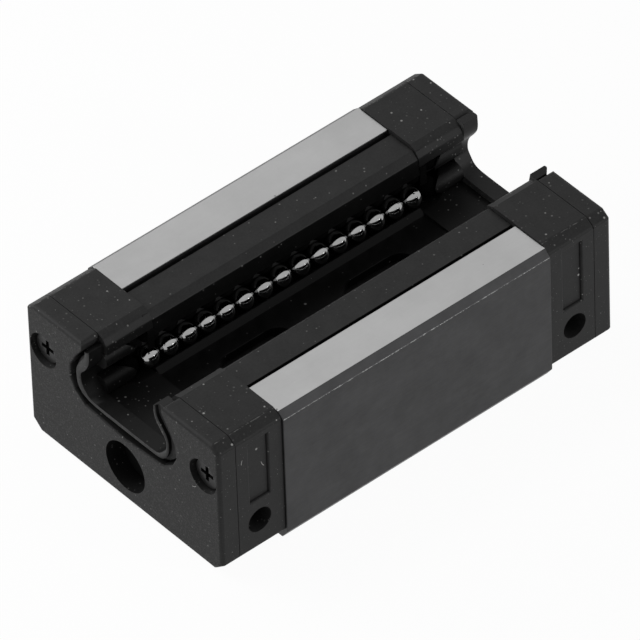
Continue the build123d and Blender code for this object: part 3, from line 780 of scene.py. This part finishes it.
class GUIDE_OT_balls(bpy.types.Operator):
    """Make the round balls of the four circuits"""
    bl_idname = "guide_block.balls"
    bl_label = "Balls"

    def execute(self, context):
        sizes, colours, _ = settings()
        material, tree, shader, coordinates = start_material("polished_ball")
        smear = group_node(tree, "mottle", mottle_group, coordinates, scale=500.0)
        base = mix_colours(tree, map_range(tree, smear.outputs["Cloud"], 0.3, 0.7),
                           tuple(c * 0.85 for c in colours.ball), tuple(c * 1.1 for c in colours.ball))
        tree.links.new(base, shader.inputs["Base Color"])
        tree.links.new(map_range(tree, smear.outputs["Cloud"], 0.4, 0.8, 0.06, 0.16), shader.inputs["Roughness"])
        shader.inputs["Metallic"].default_value = 1.0
        groups = [(f"{row}_load", ROW_BALLS, sizes.load_ball_steps) for row in ROWS]
        groups += [(f"{row}_return", ROW_BALLS, sizes.hidden_ball_steps) for row in ROWS]
        groups += [(f"{row}_{end}_turn", TURN_BALLS, sizes.hidden_ball_steps) for row in ROWS for end in ENDS]
        # Painted shade: all balls but the deep loaded rows' are near black and without sheen, standing for the shade of
        # the shallow rows, the returns and the turns.
        greased_and_shaded = steel_material("shade_painted_ball", colours.grease_and_shade, 0.85, 0.0, 0.3, 0.0, 0.002 * MM)
        greased_and_shaded.node_tree.nodes["Principled BSDF"].inputs["Specular IOR Level"].default_value = 0.0
        for name, count, steps in groups:
            across = sizes.turn_ball_diameter if name.endswith("turn") else sizes.ball_diameter
            points, faces = sphere_surface(across / 2, steps)
            centres = ball_centres(f"{name}_balls", count)
            many = (points[None] + centres[:, None]).reshape(-1, 3)
            all_faces = [[c + i * len(points) for c in face] for i in range(count) for face in faces]
            steel = material if name.endswith("deep_load") else greased_and_shaded
            made = mesh_object(f"{name}_round_balls", many, all_faces, steel)
            stand_for(made, f"{name}_balls")
        return {"FINISHED"}


def camera_matrix(view):
    """The camera looks along -back at the middle of the block, rolled about its own axis."""
    a, e, r = (math.radians(x) for x in (view.azimuth, view.elevation, view.roll))
    back = Vector((math.sin(a) * math.cos(e), -math.cos(a) * math.cos(e), math.sin(e)))
    right = Vector((0, 0, 1)).cross(back).normalized()
    up = back.cross(right)
    turned_right = right * math.cos(r) + up * math.sin(r)
    turned_up = up * math.cos(r) - right * math.sin(r)
    return turned_right, turned_up, back


CAMERA_OFFSET = Vector((-0.121, 0.052)) * MM
TARGET = Vector((0, 0, 9.75)) * MM
FLOOR_REACH = 3.0          # from the middle to the floor's edges
FLOOR_DROP = 0.02 * MM     # the floor lies this far below the block
FLOOR_GLOW = 0.96          # how much of the floor that is seen glows white; the rest takes the block's shadow
# Name, direction from the block, distance, width, height and power in watts
LAMPS = (
    ("front_softbox", (-0.9, 1.1, 0.60), 0.17, 0.07, 0.07, 0.12),
    ("side_softbox", (0.6, -1.2, 0.40), 0.6, 0.12, 0.22, 0.95),
    ("top_softbox", (-0.5, 0.9, 1.6), 0.5, 0.30, 0.10, 0.7),
)


def area_light(name, direction, distance, width, height, power):
    """A rectangular lamp that looks at the middle of the block from a direction."""
    data = bpy.data.lights.new(name, "AREA")
    data.shape = "RECTANGLE"
    data.size, data.size_y = width, height
    data.energy = power
    lamp = bpy.data.objects.new(name, data)
    back = Vector(direction).normalized()
    turn = back.to_track_quat("Z", "Y").to_matrix().to_4x4()
    lamp.matrix_world = Matrix.Translation(TARGET + back * distance) @ turn
    bpy.context.scene.collection.objects.link(lamp)


def seen_directly(tree):
    """One for rays from the camera, a mirror or a clear body, nought for the light that falls on things."""
    path = tree.nodes.new("ShaderNodeLightPath")
    return maths(tree, "MAXIMUM", path.outputs["Is Camera Ray"],
                 maths(tree, "MAXIMUM", path.outputs["Is Glossy Ray"], path.outputs["Is Transmission Ray"]))


class GUIDE_OT_stage(bpy.types.Operator):
    """Set the floor, the lights, the background and the camera"""
    bl_idname = "guide_block.stage"
    bl_label = "Stage"

    def execute(self, context):
        _, colours, view = settings()
        scene = context.scene
        scene.view_settings.view_transform = "Standard"

        corners = np.array([(-1, -1, 0), (1, -1, 0), (1, 1, 0), (-1, 1, 0)], float) * FLOOR_REACH
        corners[:, 2] = -FLOOR_DROP
        paper = bpy.data.materials.new("pale_floor")
        paper.use_nodes = True
        tree = paper.node_tree
        shader = tree.nodes["Principled BSDF"]
        shader.inputs["Base Color"].default_value = (*colours.floor, 1)
        shader.inputs["Roughness"].default_value = 0.9
        shader.inputs["Specular IOR Level"].default_value = 0.0
        glow = tree.nodes.new("ShaderNodeEmission")
        mix = tree.nodes.new("ShaderNodeMixShader")
        tree.links.new(maths(tree, "MULTIPLY", seen_directly(tree), FLOOR_GLOW), mix.inputs[0])
        tree.links.new(shader.outputs[0], mix.inputs[1])
        tree.links.new(glow.outputs[0], mix.inputs[2])
        tree.links.new(mix.outputs[0], tree.nodes["Material Output"].inputs["Surface"])
        floor = mesh_object("pale_floor", corners, [[0, 1, 2, 3]], paper, smooth=False)

        world = bpy.data.worlds.new("studio")
        scene.world = world
        world.use_nodes = True
        tree = world.node_tree
        background = tree.nodes["Background"]
        background.inputs["Color"].default_value = (1, 1, 1, 1)
        tree.links.new(map_range(tree, seen_directly(tree), 0, 1, view.ambient, 1.0), background.inputs["Strength"])

        for lamp in LAMPS:
            area_light(*lamp)

        right, up, back = camera_matrix(view)
        data = bpy.data.cameras.new("photo_view")
        data.lens = view.lens
        data.sensor_width = 36.0
        data.clip_end = 10.0
        camera = bpy.data.objects.new("photo_view", data)
        place = TARGET + right * CAMERA_OFFSET.x + up * CAMERA_OFFSET.y + back * view.distance
        turn = Matrix((right, up, back)).transposed().to_4x4()
        camera.matrix_world = Matrix.Translation(place) @ turn
        scene.collection.objects.link(camera)
        scene.camera = camera
        return {"FINISHED"}


class GUIDE_PT_panel(bpy.types.Panel):
    """Lists the pieces of the guide block in the order they are made"""
    bl_idname = "GUIDE_PT_panel"
    bl_label = "Guide block"
    bl_space_type = "VIEW_3D"
    bl_region_type = "UI"
    bl_category = "Guide block"

    def draw(self, context):
        for operator in OPERATORS:
            self.layout.operator(operator.bl_idname)
        for group in settings():
            box = self.layout.box()
            for name in group.__annotations__:
                box.prop(group, name)


OPERATORS = (GUIDE_OT_steel_body, GUIDE_OT_plastic_ends, GUIDE_OT_seal_lips, GUIDE_OT_retainers, GUIDE_OT_screws,
             GUIDE_OT_balls, GUIDE_OT_stage)
CLASSES = (GuideBlockSizes, GuideBlockColours, GuideBlockView, *OPERATORS, GUIDE_PT_panel)


def register():
    for part in CLASSES:
        bpy.utils.register_class(part)
    bpy.types.Scene.guide_sizes = bpy.props.PointerProperty(type=GuideBlockSizes)
    bpy.types.Scene.guide_colours = bpy.props.PointerProperty(type=GuideBlockColours)
    bpy.types.Scene.guide_view = bpy.props.PointerProperty(type=GuideBlockView)


def unregister():
    del bpy.types.Scene.guide_sizes, bpy.types.Scene.guide_colours, bpy.types.Scene.guide_view
    for part in reversed(CLASSES):
        bpy.utils.unregister_class(part)


def main():
    register()
    bpy.ops.guide_block.steel_body()
    bpy.ops.guide_block.plastic_ends()
    bpy.ops.guide_block.seal_lips()
    bpy.ops.guide_block.retainers()
    bpy.ops.guide_block.screws()
    bpy.ops.guide_block.balls()
    bpy.ops.guide_block.stage()


if __name__ == "__main__":
    main()
